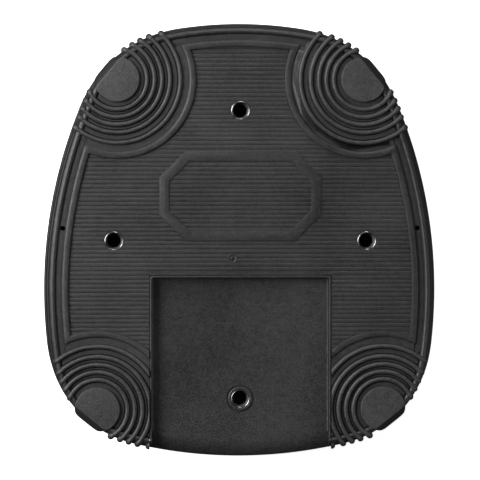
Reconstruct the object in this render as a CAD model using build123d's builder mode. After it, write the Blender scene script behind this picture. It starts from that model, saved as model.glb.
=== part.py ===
"""Moulded kick target head: a ribbed rear shell with four corner bumpers and four threaded inserts,
closed at the front by an upholstered strike pad. It lies on its strike face, rear face up.

Millimetres, +Z up. The origin is the centre of the footprint, on the strike face.
+Y is the end away from the grip pocket.
"""

import math
import os

from build123d import *

os.makedirs("parts", exist_ok=True)

# --- Outline of the rim: four arcs joined by rounded corners ---------------------------------
rim_half_width = 132.0
rim_half_length = 147.1
side_arc_radius = 331.0
side_arc_centre_y = -34.5
top_arc_radius = 270.0
bottom_arc_radius = 315.0
upper_corner_radius = 72.0
lower_corner_radius = 66.0

# --- Stack heights, from the strike face up --------------------------------------------------
cover_thickness = 1.5
face_foam_thickness = 7.0
core_foam_thickness = 9.5
board_thickness = 6.0
cavity_height = 15.0
shell_wall = 3.0

face_foam_z = cover_thickness
core_foam_z = face_foam_z + face_foam_thickness
board_z = core_foam_z + core_foam_thickness
board_top_z = board_z + board_thickness
hem_top_z = board_top_z + cover_thickness
deck_under_z = board_top_z + cavity_height
deck_z = deck_under_z + shell_wall

# --- Rear shell ------------------------------------------------------------------------------
flare_side = 4.4  # how far the skirt stands out past the rim, at the sides
flare_end = 3.6  # the same at the two ends
flare_corner = 8.0  # how much more the skirt's corners are rounded, so that they hardly stand out
skirt_depth = 26.0  # from the deck down to the shell's lower edge
skirt_height = 11.0  # upright part of the skirt
rim_land = 2.0  # upright part of the wall just under the deck
ridge_height = 1.6
ridge_reach = 0.5
ridge_shares = (0.3, 0.72)  # places of the two ridges down the flared wall
bead_width = 4.4
bead_height = 1.3
border_inset = 8.7  # from the rim to the border rib
border_width = 4.6
border_height = 1.3
field_step = 0.3  # the slats stand this far below the deck
slat_pitch = 3.0
slat_gap = 0.9
slat_gap_depth = 0.5
vent_radius = 1.7
vent_y = 8.8
gate_pip_place = (-5.8, -12.2)
gate_pip_radius = 1.6
gate_pip_height = 0.6

skirt_z = deck_z - skirt_depth
flare_low_z = skirt_z + skirt_height
flare_high_z = deck_z - rim_land

# --- Plain badge -----------------------------------------------------------------------------
badge_length = 112.0
badge_width = 62.0
badge_centre_y = 31.0
badge_corner_cut = 18.0
badge_stroke = 7.0
badge_height = 0.8

# --- Grip pocket, open at the lower end ------------------------------------------------------
pocket_half_width = 61.3
pocket_top_y = -25.4
pocket_depth = 7.5
pocket_lip_radius = 7.0
pocket_wall = 3.0
tray_wall = 1.35
tray_gap = 0.4  # joint line between the tray's lip and the shell
ring_groove_radius = 8.7
ring_groove_width = 1.0
ring_groove_depth = 0.7

pocket_floor_z = deck_z - pocket_depth
tray_edge = tray_wall + tray_gap
tray_seat_z = pocket_floor_z - pocket_lip_radius

# --- Corner bumpers --------------------------------------------------------------------------
upper_bumper_centre = (85.1, 111.3)
lower_bumper_centre = (98.9, -116.5)
bumper_radius = 47.0
bumper_web = 1.2
bumper_web_lap = 0.6  # how far the web laps over the rim
pad_radius = 15.6
pad_height = 2.6
pad_round = 0.9
ring_radii = (20.7, 25.9, 31.05, 36.6, 43.7)
ring_width = 3.2
ring_height = 1.8
bumper_reach = 3.0  # how far rings and pad stand out past the rim
bumper_round = 4.6  # how they round over it
bumper_drop = 9.0  # how far they hang down the wall
border_arc_radius = 49.9

# --- Threaded inserts, washers and nuts ------------------------------------------------------
side_insert_x = 87.4
side_insert_y = 0.0
top_insert_y = 90.0
bottom_insert_y = -110.0
insert_radius = 6.4
insert_pilot_radius = 5.7
insert_pilot_depth = 5.0
insert_thread_radius = 4.25
insert_floor = 0.5  # how far the blind thread stops above the board's front face
insert_chamfer = 0.4
collar_radius = 9.0
collar_height = 2.0
land_radius = 8.2  # smooth land around each insert
boss_radius = 11.0
washer_radius = 12.0
washer_thickness = 1.5
nut_across_flats = 18.0
nut_thickness = 5.0
thread_end = 1.0  # thread showing past the nut
fit_clearance = 0.05
part_clearance = 0.3

# --- Strike pad ------------------------------------------------------------------------------
piping_width = 2.4
piping_height = 3.0
piping_lift = 0.4
hem_width = 18.0
staple_count = 48
staple_crown = 10.0
staple_wire = 0.9
staple_leg = 6.0
staple_inset = 9.0
foam_gap = 0.1

pad_side = flare_side - shell_wall - part_clearance
pad_end = flare_end - shell_wall - part_clearance

insert_places = {
    "top": (0.0, top_insert_y, deck_z - field_step),
    "left": (-side_insert_x, side_insert_y, deck_z - field_step),
    "right": (side_insert_x, side_insert_y, deck_z - field_step),
    "bottom": (0.0, bottom_insert_y, pocket_floor_z),
}
insert_xy = [(x, y) for x, y, _ in insert_places.values()]
bumper_centres = {
    "upper_left": (-upper_bumper_centre[0], upper_bumper_centre[1]),
    "upper_right": upper_bumper_centre,
    "lower_left": (-lower_bumper_centre[0], lower_bumper_centre[1]),
    "lower_right": lower_bumper_centre,
}


def rim_outline(side, end, flare=0.0):
    """Draws the rim's outline in the open sketch, grown by side at the sides and by end at the ends.

    flare is the share of the wall's full flare reached at that height, which eases the corners.
    """
    corner = (side + end) / 2 + flare * flare_corner
    with Locations((0, rim_half_length - top_arc_radius)):
        Circle(top_arc_radius + end)
    with Locations((0, bottom_arc_radius - rim_half_length)):
        Circle(bottom_arc_radius + end, mode=Mode.INTERSECT)
    for sign in (-1, 1):
        with Locations((sign * (side_arc_radius - rim_half_width), side_arc_centre_y)):
            Circle(side_arc_radius + side, mode=Mode.INTERSECT)
    fillet(vertices().sort_by(Axis.Y)[:2], lower_corner_radius + corner)
    fillet(vertices().sort_by(Axis.Y)[-2:], upper_corner_radius + corner)


def side_x(y, side):
    """Half width of the side arc at height y up the outline, grown by side."""
    reach = math.sqrt((side_arc_radius + side) ** 2 - (y - side_arc_centre_y) ** 2)
    return reach - (side_arc_radius - rim_half_width)


def draw_pocket(mode, grow=0.0):
    """Draws the pocket's footprint, grown by grow, running out past the lower end of the outline."""
    length = rim_half_length + pocket_top_y + 2 * flare_side
    with Locations((0, pocket_top_y + grow - length / 2)):
        Rectangle(2 * (pocket_half_width + grow), length, mode=mode)


def draw_field(inset, arc_radius):
    """Draws the ribbed field: the outline less inset, less the corner arcs and the pocket."""
    rim_outline(-inset, -inset)
    for centre in bumper_centres.values():
        with Locations(centre):
            Circle(arc_radius, mode=Mode.SUBTRACT)
    draw_pocket(Mode.SUBTRACT, tray_edge)


def draw_badge(grow, mode=Mode.ADD):
    """Draws the badge's long octagon, grown by grow."""
    x, y = badge_length / 2 + grow, badge_width / 2 + grow
    cut = badge_corner_cut + grow * (2 - math.sqrt(2))
    points = [(x, y - cut), (x - cut, y), (cut - x, y), (-x, y - cut)]
    points += [(-a, -b) for a, b in points]
    with Locations((0, badge_centre_y)):
        Polygon(*points, align=None, mode=mode)


# --- Rear shell ------------------------------------------------------------------------------
with BuildSketch(Plane.XY.offset(deck_z)) as field:
    draw_field(border_inset + border_width, border_arc_radius + border_width)

with BuildPart() as rear_shell:
    with BuildSketch(Plane.XY.offset(skirt_z)):
        rim_outline(flare_side, flare_end, 1)
    extrude(amount=skirt_height)
    with BuildSketch(Plane.XY.offset(flare_low_z)):
        rim_outline(flare_side, flare_end, 1)
    with BuildSketch(Plane.XY.offset(flare_high_z)):
        rim_outline(0, 0)
    loft(ruled=True)
    with BuildSketch(Plane.XY.offset(flare_high_z)):
        rim_outline(0, 0)
    extrude(amount=rim_land)

    # two fine ridges round the flared wall
    for share in ridge_shares:
        ridge_z = flare_high_z - share * (flare_high_z - flare_low_z)
        with BuildSketch(Plane.XY.offset(ridge_z - ridge_height / 2)):
            rim_outline(share * flare_side + ridge_reach, share * flare_end + ridge_reach, share)
        extrude(amount=ridge_height)

    # rounded bead on the rim
    with BuildSketch(Plane.XY.offset(deck_z)):
        rim_outline(0, 0)
        with BuildSketch(mode=Mode.PRIVATE) as inside_bead:
            rim_outline(-bead_width, -bead_width)
        add(inside_bead.sketch, mode=Mode.SUBTRACT)
    extrude(amount=bead_height)
    fillet(edges().group_by(Axis.Z)[-1], 0.9 * bead_height)

    # border rib round the field
    with BuildSketch(Plane.XY.offset(deck_z)):
        draw_field(border_inset, border_arc_radius)
        with BuildSketch(mode=Mode.PRIVATE) as inside_border:
            draw_field(border_inset + border_width, border_arc_radius + border_width)
        add(inside_border.sketch, mode=Mode.SUBTRACT)
    extrude(amount=border_height)

    # field let in below the deck, then the gaps between its slats
    add(field.sketch)
    extrude(amount=-field_step, mode=Mode.SUBTRACT)
    slat_count = math.ceil(2 * rim_half_length / slat_pitch)
    with BuildSketch(Plane.XY.offset(deck_z - field_step)):
        with GridLocations(0, slat_pitch, 1, slat_count):
            Rectangle(2 * rim_half_width, slat_gap)
        with BuildSketch(mode=Mode.PRIVATE) as slatted:
            draw_field(border_inset + border_width, border_arc_radius + border_width)
            draw_badge(0, Mode.SUBTRACT)
            draw_badge(-badge_stroke)
            with Locations(*insert_xy):
                Circle(land_radius, mode=Mode.SUBTRACT)
        add(slatted.sketch, mode=Mode.INTERSECT)
    extrude(amount=-slat_gap_depth, mode=Mode.SUBTRACT)

    # plain badge and the gate pip
    with BuildSketch(Plane.XY.offset(deck_z - field_step)):
        draw_badge(0)
        draw_badge(-badge_stroke, Mode.SUBTRACT)
        with Locations(gate_pip_place):
            Circle(gate_pip_radius)
    extrude(amount=badge_height)

    # grip pocket with a rolled lower lip
    with BuildSketch(Plane.XY.offset(pocket_floor_z)):
        draw_pocket(Mode.ADD)
    extrude(amount=pocket_depth + border_height, mode=Mode.SUBTRACT)
    lip_centre_z = pocket_floor_z - pocket_lip_radius
    lip_share = (flare_high_z - lip_centre_z) / (flare_high_z - flare_low_z)
    lip_reach = bottom_arc_radius + lip_share * flare_end
    with BuildPart(mode=Mode.PRIVATE) as lip_cutter:
        lip_plane = Plane((0, bottom_arc_radius - rim_half_length, 0), x_dir=(0, 1, 0), z_dir=(1, 0, 0))
        with BuildSketch(lip_plane):
            with Locations((-lip_reach, pocket_floor_z)):
                Rectangle(2 * pocket_lip_radius, 2 * pocket_lip_radius)
            with Locations((pocket_lip_radius - lip_reach, lip_centre_z)):
                Circle(pocket_lip_radius, mode=Mode.SUBTRACT)
        lip_axis = Axis((0, bottom_arc_radius - rim_half_length, 0), (0, 0, 1))
        revolve(axis=lip_axis, revolution_arc=360)
        with BuildSketch(Plane.XY.offset(lip_centre_z)):
            draw_pocket(Mode.ADD)
        extrude(amount=3 * pocket_lip_radius, mode=Mode.INTERSECT)
    add(lip_cutter.part, mode=Mode.SUBTRACT)

    # hollow inside, with the pocket's floor and walls left standing
    with BuildSketch(Plane.XY.offset(skirt_z)):
        rim_outline(flare_side - shell_wall, flare_end - shell_wall, 1)
    extrude(amount=skirt_height, mode=Mode.SUBTRACT)
    with BuildPart(mode=Mode.PRIVATE) as hollow:
        with BuildSketch(Plane.XY.offset(flare_low_z)):
            rim_outline(flare_side - shell_wall, flare_end - shell_wall, 1)
        with BuildSketch(Plane.XY.offset(deck_under_z)):
            rim_outline(-shell_wall, -shell_wall)
        loft(ruled=True)
        with BuildSketch(Plane.XY.offset(pocket_floor_z - pocket_wall)):
            with Locations((0, pocket_top_y + pocket_wall - rim_half_length)):
                Rectangle(2 * (pocket_half_width + pocket_wall), 2 * rim_half_length)
        extrude(amount=pocket_depth + pocket_wall, mode=Mode.SUBTRACT)
    add(hollow.part, mode=Mode.SUBTRACT)

    # bosses, and the holes and collar seats for the inserts
    with BuildSketch(Plane.XY.offset(board_top_z)):
        with Locations(*insert_xy):
            Circle(boss_radius)
    extrude(amount=pocket_floor_z - pocket_wall - board_top_z)
    with BuildSketch(Plane.XY.offset(pocket_floor_z - pocket_wall)):
        with Locations(*insert_xy[:3]):
            Circle(boss_radius)
    extrude(amount=deck_under_z - (pocket_floor_z - pocket_wall))
    with BuildSketch(Plane.XY.offset(board_top_z)):
        with Locations(*insert_xy):
            Circle(insert_radius + fit_clearance)
    extrude(amount=deck_z - board_top_z, mode=Mode.SUBTRACT)
    with BuildSketch(Plane.XY.offset(board_top_z)):
        with Locations(*insert_xy):
            Circle(collar_radius + fit_clearance)
    extrude(amount=collar_height, mode=Mode.SUBTRACT)

    # ring groove round the pocket's insert
    with BuildSketch(Plane.XY.offset(pocket_floor_z)):
        with Locations((0, bottom_insert_y)):
            Circle(ring_groove_radius + ring_groove_width / 2)
            Circle(ring_groove_radius - ring_groove_width / 2, mode=Mode.SUBTRACT)
    extrude(amount=-ring_groove_depth, mode=Mode.SUBTRACT)

    # vents through the channel between bead and border
    vent_x = side_x(vent_y, -(bead_width + border_inset) / 2)
    with BuildSketch(Plane.XY.offset(deck_under_z)):
        with Locations((-vent_x, vent_y), (vent_x, vent_y)):
            Circle(vent_radius)
    extrude(amount=shell_wall, mode=Mode.SUBTRACT)

    # seats for the corner bumpers' webs
    with BuildSketch(Plane.XY.offset(deck_z - bumper_web)):
        with Locations(*bumper_centres.values()):
            Circle(bumper_radius)
        draw_pocket(Mode.SUBTRACT, tray_edge)
    extrude(amount=bumper_web + bead_height, mode=Mode.SUBTRACT)


def tray_room(grow):
    """The room of the pocket's tray: all of it above the shell's skirt, and its boss down to the board."""
    with BuildPart(mode=Mode.PRIVATE) as room:
        with BuildSketch(Plane.XY.offset(tray_seat_z)):
            draw_pocket(Mode.ADD, grow)
        extrude(amount=2 * pocket_depth + pocket_lip_radius)
        with BuildSketch(Plane.XY.offset(board_top_z)):
            with Locations((0, bottom_insert_y)):
                Circle(boss_radius + grow)
        extrude(amount=tray_seat_z - board_top_z)
    return room.part


with BuildPart() as grip_tray:
    add(rear_shell.part)
    add(tray_room(tray_wall), mode=Mode.INTERSECT)
grip_tray.part.label = "grip_tray"
export_step(grip_tray.part, "parts/grip_tray.step")

with BuildPart() as shell_frame:
    add(rear_shell.part)
    add(tray_room(tray_edge), mode=Mode.SUBTRACT)
shell_frame.part.label = "rear_shell"
export_step(shell_frame.part, "parts/rear_shell.step")


# --- Corner bumpers --------------------------------------------------------------------------
def corner_bumper(name, centre):
    """One rubber bumper: a web on the deck, a round pad and five rings that hang down over the rim."""
    wall_gap = fit_clearance
    with BuildPart() as bumper:
        # rings and pad, clipped to a rounded envelope that stands out past the rim
        with BuildPart(mode=Mode.PRIVATE) as envelope:
            with BuildSketch(Plane.XY.offset(deck_z - bumper_drop)):
                rim_outline(bumper_reach, bumper_reach)
            extrude(amount=bumper_drop + pad_height)
            fillet(envelope.edges().group_by(Axis.Z)[-1], bumper_round)
        with BuildSketch(Plane.XY.offset(deck_z - bumper_drop)):
            with Locations(centre):
                Circle(pad_radius)
        extrude(amount=bumper_drop + pad_height)
        fillet(edges().group_by(Axis.Z)[-1], pad_round)
        for radius in ring_radii:
            with BuildSketch(Plane.XY.offset(deck_z - bumper_drop)):
                with Locations(centre):
                    Circle(radius + ring_width / 2)
                    Circle(radius - ring_width / 2, mode=Mode.SUBTRACT)
            extrude(amount=bumper_drop + ring_height)
            tops = edges().filter_by_position(Axis.Z, deck_z + ring_height - 0.01, deck_z + ring_height + 0.01)
            fillet(tops, 0.45 * ring_width)
        add(envelope.part, mode=Mode.INTERSECT)

        # what lies under the deck and inside the wall belongs to the shell
        with BuildPart(mode=Mode.PRIVATE) as shell_body:
            with BuildSketch(Plane.XY.offset(flare_low_z)):
                rim_outline(flare_side + wall_gap, flare_end + wall_gap, 1)
            with BuildSketch(Plane.XY.offset(flare_high_z)):
                rim_outline(wall_gap, wall_gap)
            loft(ruled=True)
            with BuildSketch(Plane.XY.offset(flare_high_z)):
                rim_outline(wall_gap, wall_gap)
            extrude(amount=rim_land)
            for share in ridge_shares:
                ridge_z = flare_high_z - share * (flare_high_z - flare_low_z)
                with BuildSketch(Plane.XY.offset(ridge_z - ridge_height / 2 - wall_gap)):
                    reach = ridge_reach + wall_gap
                    rim_outline(share * flare_side + reach, share * flare_end + reach, share)
                extrude(amount=ridge_height + 2 * wall_gap)
        add(shell_body.part, mode=Mode.SUBTRACT)

        # web in its seat, which joins the rings and the pad
        with BuildSketch(Plane.XY.offset(deck_z - bumper_web)):
            with Locations(centre):
                Circle(bumper_radius - fit_clearance)
            with BuildSketch(mode=Mode.PRIVATE) as deck_edge:
                rim_outline(bumper_web_lap, bumper_web_lap)
            add(deck_edge.sketch, mode=Mode.INTERSECT)
        extrude(amount=bumper_web)

        # the lower bumpers stop at the pocket's joint line
        with BuildSketch(Plane.XY.offset(deck_z - bumper_drop)):
            draw_pocket(Mode.ADD, tray_edge)
        extrude(amount=bumper_drop + 2 * pad_height, mode=Mode.SUBTRACT)
    bumper.part.label = name
    export_step(bumper.part, f"parts/{name}.step")


for corner, centre in bumper_centres.items():
    corner_bumper(f"corner_bumper_{corner}", centre)


# --- Threaded inserts ------------------------------------------------------------------------
def threaded_insert(name, x, y, top_z):
    """One blind threaded insert, moulded into the shell, with a collar that seats on the board."""
    end_z = board_z - washer_thickness - nut_thickness - thread_end
    with BuildPart() as insert:
        with BuildSketch(Plane.XY.offset(end_z)):
            with Locations((x, y)):
                Circle(insert_radius)
        extrude(amount=top_z - end_z)
        chamfer(edges().group_by(Axis.Z)[-1], insert_chamfer)
        with BuildSketch(Plane.XY.offset(board_top_z)):
            with Locations((x, y)):
                Circle(collar_radius)
        extrude(amount=collar_height)
        with BuildSketch(Plane.XY.offset(board_z + insert_floor)):
            with Locations((x, y)):
                Circle(insert_thread_radius)
        extrude(amount=top_z - board_z - insert_floor, mode=Mode.SUBTRACT)
        with BuildSketch(Plane.XY.offset(top_z - insert_pilot_depth)):
            with Locations((x, y)):
                Circle(insert_pilot_radius)
        extrude(amount=insert_pilot_depth, mode=Mode.SUBTRACT)
    insert.part.label = name
    export_step(insert.part, f"parts/{name}.step")


for place, (x, y, top_z) in insert_places.items():
    threaded_insert(f"threaded_insert_{place}", x, y, top_z)

with BuildPart() as insert_washers:
    with BuildSketch(Plane.XY.offset(board_z - washer_thickness)):
        with Locations(*insert_xy):
            Circle(washer_radius)
        with Locations(*insert_xy):
            Circle(insert_radius + fit_clearance, mode=Mode.SUBTRACT)
    extrude(amount=washer_thickness)
insert_washers.part.label = "insert_washers"
export_step(insert_washers.part, "parts/insert_washers.step")

with BuildPart() as insert_nuts:
    with BuildSketch(Plane.XY.offset(board_z - washer_thickness - nut_thickness)):
        with Locations(*insert_xy):
            RegularPolygon(nut_across_flats / 2, 6, major_radius=False)
        with Locations(*insert_xy):
            Circle(insert_radius + fit_clearance, mode=Mode.SUBTRACT)
    extrude(amount=nut_thickness)
insert_nuts.part.label = "insert_nuts"
export_step(insert_nuts.part, "parts/insert_nuts.step")

# --- Stiffener board and the foams -----------------------------------------------------------
with BuildSketch() as staple_outline:
    rim_outline(pad_side - staple_inset, pad_end - staple_inset, 1)
staple_line = staple_outline.sketch.face().outer_wire()


def draw_staples(grow, mode):
    """Places the staples along the hem in the open part, each wire grown by grow."""
    wire = staple_wire + 2 * grow
    for index in range(staple_count):
        spot = staple_line.position_at(index / staple_count) + Vector(0, 0, hem_top_z)
        along = staple_line.tangent_at(index / staple_count)
        with Locations(Plane(origin=spot, x_dir=along, z_dir=(0, 0, 1)).location):
            if mode == Mode.ADD:
                Box(staple_crown, wire, wire, align=(Align.CENTER, Align.CENTER, Align.MIN))
            with Locations(
                ((staple_wire - staple_crown) / 2, 0, staple_wire),
                ((staple_crown - staple_wire) / 2, 0, staple_wire),
            ):
                leg = staple_wire + staple_leg + grow
                Box(wire, wire, leg, align=(Align.CENTER, Align.CENTER, Align.MAX), mode=mode)


foam_side = pad_side - cover_thickness - foam_gap
foam_end = pad_end - cover_thickness - foam_gap

with BuildPart() as stiffener_board:
    with BuildSketch(Plane.XY.offset(board_z)):
        rim_outline(foam_side, foam_end, 1)
        with Locations(*insert_xy):
            Circle(insert_radius + fit_clearance, mode=Mode.SUBTRACT)
    extrude(amount=board_thickness)
    draw_staples(fit_clearance, Mode.SUBTRACT)
stiffener_board.part.label = "stiffener_board"
export_step(stiffener_board.part, "parts/stiffener_board.step")

with BuildPart() as core_foam:
    with BuildSketch(Plane.XY.offset(core_foam_z)):
        rim_outline(foam_side, foam_end, 1)
    extrude(amount=core_foam_thickness)
    nut_pocket_depth = washer_thickness + nut_thickness + thread_end
    with BuildSketch(Plane.XY.offset(board_z - nut_pocket_depth)):
        with Locations(*insert_xy):
            Circle(washer_radius + part_clearance)
    extrude(amount=nut_pocket_depth, mode=Mode.SUBTRACT)
core_foam.part.label = "core_foam"
export_step(core_foam.part, "parts/core_foam.step")

with BuildPart() as face_foam:
    with BuildSketch(Plane.XY.offset(face_foam_z)):
        rim_outline(pad_side - piping_width, pad_end - piping_width, 1)
    extrude(amount=face_foam_thickness)
face_foam.part.label = "face_foam"
export_step(face_foam.part, "parts/face_foam.step")

with BuildPart() as filler_foam:
    filler_inset = shell_wall + hem_width
    with BuildSketch(Plane.XY.offset(board_top_z)):
        rim_outline(-filler_inset, -filler_inset)
        with Locations(*insert_xy):
            Circle(boss_radius + part_clearance, mode=Mode.SUBTRACT)
    extrude(amount=cavity_height)
    with BuildSketch(Plane.XY.offset(pocket_floor_z - pocket_wall - part_clearance)):
        with Locations((0, pocket_top_y + pocket_wall + part_clearance - rim_half_length)):
            Rectangle(2 * (pocket_half_width + pocket_wall + part_clearance), 2 * rim_half_length)
    extrude(amount=pocket_depth + pocket_wall + part_clearance, mode=Mode.SUBTRACT)
filler_foam.part.label = "filler_foam"
export_step(filler_foam.part, "parts/filler_foam.step")

# --- Cover: face panel, piping, side gusset and its staples ----------------------------------
with BuildPart() as face_panel:
    with BuildSketch():
        rim_outline(pad_side - piping_width, pad_end - piping_width, 1)
    extrude(amount=cover_thickness)
face_panel.part.label = "face_panel"
export_step(face_panel.part, "parts/face_panel.step")

with BuildPart() as seam_piping:
    with BuildSketch(Plane.XY.offset(piping_lift)):
        rim_outline(pad_side, pad_end, 1)
        with BuildSketch(mode=Mode.PRIVATE) as inside_piping:
            rim_outline(pad_side - piping_width, pad_end - piping_width, 1)
        add(inside_piping.sketch, mode=Mode.SUBTRACT)
    extrude(amount=piping_height)
seam_piping.part.label = "seam_piping"
export_step(seam_piping.part, "parts/seam_piping.step")

with BuildPart() as side_gusset:
    gusset_z = piping_lift + piping_height
    with BuildSketch(Plane.XY.offset(gusset_z)):
        rim_outline(pad_side, pad_end, 1)
    extrude(amount=hem_top_z - gusset_z)
    with BuildSketch(Plane.XY.offset(gusset_z)):
        rim_outline(pad_side - cover_thickness, pad_end - cover_thickness, 1)
    extrude(amount=board_top_z - gusset_z, mode=Mode.SUBTRACT)
    with BuildSketch(Plane.XY.offset(board_top_z)):
        rim_outline(pad_side - hem_width, pad_end - hem_width, 1)
    extrude(amount=cover_thickness, mode=Mode.SUBTRACT)
    draw_staples(fit_clearance, Mode.SUBTRACT)
side_gusset.part.label = "side_gusset"
export_step(side_gusset.part, "parts/side_gusset.step")

with BuildPart() as cover_staples:
    draw_staples(0, Mode.ADD)
cover_staples.part.label = "cover_staples"
export_step(cover_staples.part, "parts/cover_staples.step")
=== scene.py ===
# %% [markdown]
# # A kick target head, lying on its strike face
#
# The object is the head of a padded kick target. What shows from above is the moulded rear shell: a ribbed
# field inside a raised border, four rubber corners with rings, four steel inserts, and a smooth pocket for
# a grip. Under the shell, between it and the floor, is the upholstered strike pad.
#
# The CAD model is the frame. Every piece below is built in that frame, in the place where the CAD has it.

# %% Load the frame
import math

import bmesh
import bpy
import numpy as np
from mathutils import Matrix, Vector


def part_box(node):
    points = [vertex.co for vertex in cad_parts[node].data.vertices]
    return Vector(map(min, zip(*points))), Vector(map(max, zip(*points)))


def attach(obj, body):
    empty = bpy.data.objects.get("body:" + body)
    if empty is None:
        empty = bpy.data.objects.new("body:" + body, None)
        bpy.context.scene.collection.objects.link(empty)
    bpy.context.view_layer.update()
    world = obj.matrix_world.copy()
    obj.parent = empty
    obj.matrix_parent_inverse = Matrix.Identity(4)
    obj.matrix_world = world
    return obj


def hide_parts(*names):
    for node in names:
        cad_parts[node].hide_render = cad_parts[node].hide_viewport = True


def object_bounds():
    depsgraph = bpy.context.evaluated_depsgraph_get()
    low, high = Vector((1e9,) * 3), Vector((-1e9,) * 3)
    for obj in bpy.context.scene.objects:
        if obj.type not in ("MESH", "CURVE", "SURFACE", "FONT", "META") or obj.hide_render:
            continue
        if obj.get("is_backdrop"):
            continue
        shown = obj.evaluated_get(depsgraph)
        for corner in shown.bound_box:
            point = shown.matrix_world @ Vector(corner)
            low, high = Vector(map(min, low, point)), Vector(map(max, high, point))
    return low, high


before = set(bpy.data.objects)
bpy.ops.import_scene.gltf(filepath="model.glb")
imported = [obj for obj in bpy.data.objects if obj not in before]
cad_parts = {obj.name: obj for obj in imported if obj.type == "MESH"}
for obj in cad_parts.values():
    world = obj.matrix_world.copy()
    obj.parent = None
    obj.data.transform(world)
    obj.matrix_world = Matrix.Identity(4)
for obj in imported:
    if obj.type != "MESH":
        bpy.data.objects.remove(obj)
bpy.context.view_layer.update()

mm = 0.001

# %% [markdown]
# ## Sizes
#
# Heights and the places of the inserts are read from the CAD nodes, so the pieces cannot drift from them.
# The outline is the CAD's own: four arcs, joined by rounded corners. Its sizes are repeated here in
# millimetres, because a mesh built from the same few numbers is cleaner than one traced from triangles.

# %% Sizes of the frame
def corner_mm(node, which):
    """Lowest (0) or highest (1) corner of a CAD node, in millimetres."""
    return Vector(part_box(node)[which]) / mm


field_z = corner_mm("threaded_insert_top", 1).z
deck_z = field_z + 0.3
pocket_z = corner_mm("threaded_insert_bottom", 1).z
skirt_z = corner_mm("rear_shell", 0).z
insert_places = {}
for place in ("top", "left", "right", "bottom"):
    node = f"threaded_insert_{place}"
    middle = (corner_mm(node, 0) + corner_mm(node, 1)) / 2
    insert_places[place] = (middle.x, middle.y, corner_mm(node, 1).z)

half_width, half_length = 132.0, 147.1
side_arc, side_y = 331.0, -34.5
top_arc, low_arc = 270.0, 315.0
top_corner, low_corner = 72.0, 66.0
flare_side, flare_end, flare_corner = 4.4, 3.6, 12.0
shoulder_z, rim_z = 27.0, 40.0
shell_wall = 3.0
pocket_half, pocket_top = 61.3, -25.4
lip_width, joint_gap = 1.35, 0.4
seat_radius = 45.4
corner_places = {
    "upper_left": (-85.1, 111.3), "upper_right": (85.1, 111.3),
    "lower_left": (-98.9, -116.5), "lower_right": (98.9, -116.5),
}
print("deck", deck_z, "field", field_z, "pocket floor", pocket_z, "skirt", skirt_z)

# %% [markdown]
# ## Drawing the outline
#
# A rounded corner that joins two arcs lies where two circles cross: each big arc's circle, shrunk by the
# corner's radius. Growing every arc by the same amount gives a parallel outline, and because each arc always
# gets the same number of points, parallel outlines match point for point. That is what makes lofts between
# them easy.

# %% Outline helper
def crossing(a, ra, b, rb, up):
    """The right-hand point where two circles cross, above (up = 1) or below (up = -1) their centre line."""
    ax, ay, bx, by = *a, *b
    gap = math.hypot(bx - ax, by - ay)
    along = (ra * ra - rb * rb + gap * gap) / (2 * gap)
    aside = math.sqrt(ra * ra - along * along)
    ux, uy = (bx - ax) / gap, (by - ay) / gap
    found = [(ax + along * ux - s * aside * uy, ay + along * uy + s * aside * ux) for s in (1, -1)]
    return max(found, key=lambda p: p[0] + up * p[1])


def outline(side=0.0, end=None, flare=0.0, fine=1):
    """The rim's outline in millimetres, grown by side at the sides and by end at the ends.

    flare is the share of the wall's full flare reached at that height. It eases the corners, which
    hardly stand out at all.
    """
    end = side if end is None else end
    grow = (side + end) / 2 + flare * flare_corner
    top, top_r = (0.0, half_length - top_arc), top_arc + end
    low, low_r = (0.0, low_arc - half_length), low_arc + end
    flank, flank_r = (half_width - side_arc, side_y), side_arc + side
    up_r, down_r = top_corner + grow, low_corner + grow
    up = crossing(top, top_r - up_r, flank, flank_r - up_r, 1)
    down = crossing(low, low_r - down_r, flank, flank_r - down_r, -1)

    def aim(a, b):
        return math.atan2(b[1] - a[1], b[0] - a[0])

    turns = [-math.pi / 2, aim(low, down), aim(flank, down), aim(flank, up), aim(top, up), math.pi / 2]
    arcs = [(low, low_r, 18), (down, down_r, 30), (flank, flank_r, 44), (up, up_r, 30), (top, top_r, 22)]
    right = []
    for (centre, radius, count), start, stop in zip(arcs, turns, turns[1:]):
        for step in range(count * fine):
            turn = start + (stop - start) * step / (count * fine)
            right.append((centre[0] + radius * math.cos(turn), centre[1] + radius * math.sin(turn)))
    right = np.array(right)
    peak = np.array([[0.0, half_length + end]])
    left = right[:0:-1] * (-1, 1)
    return np.concatenate([right, peak, left])


rim_dense = outline(0.0, fine=12)
print("outline points", len(outline()), "size", np.ptp(outline(flare_side, flare_end, 1), axis=0).round(1))


def inside_rim(points):
    """How far each point is inside the rim, in millimetres; negative outside it."""
    points = np.atleast_2d(points)
    nearest, sign = [], []
    for p in points:
        away = rim_dense - p
        squares = (away ** 2).sum(1)
        k = int(squares.argmin())
        ahead = rim_dense[(k + 1) % len(rim_dense)] - rim_dense[k - 1]
        nearest.append(math.sqrt(squares[k]))
        sign.append(1 if ahead[0] * -away[k][1] - ahead[1] * -away[k][0] > 0 else -1)
    return np.array(nearest) * np.array(sign)


# %% [markdown]
# ## Turning points into meshes
#
# Three small helpers make almost every hand-built piece. `loft` joins a stack of matching loops with quads,
# `strip` sweeps a closed cross-section along matching open lines, and `lathe` turns a profile round an axis.

# %% Mesh helpers
def new_piece(name, points, faces):
    """A mesh object from points in millimetres, doubles merged and every face turned outwards."""
    mesh = bpy.data.meshes.new(name)
    mesh.from_pydata([tuple(np.array(p) * mm) for p in points], [], faces)
    piece = bpy.data.objects.new(name, mesh)
    bpy.context.scene.collection.objects.link(piece)
    tidy(piece)
    return piece


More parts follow.
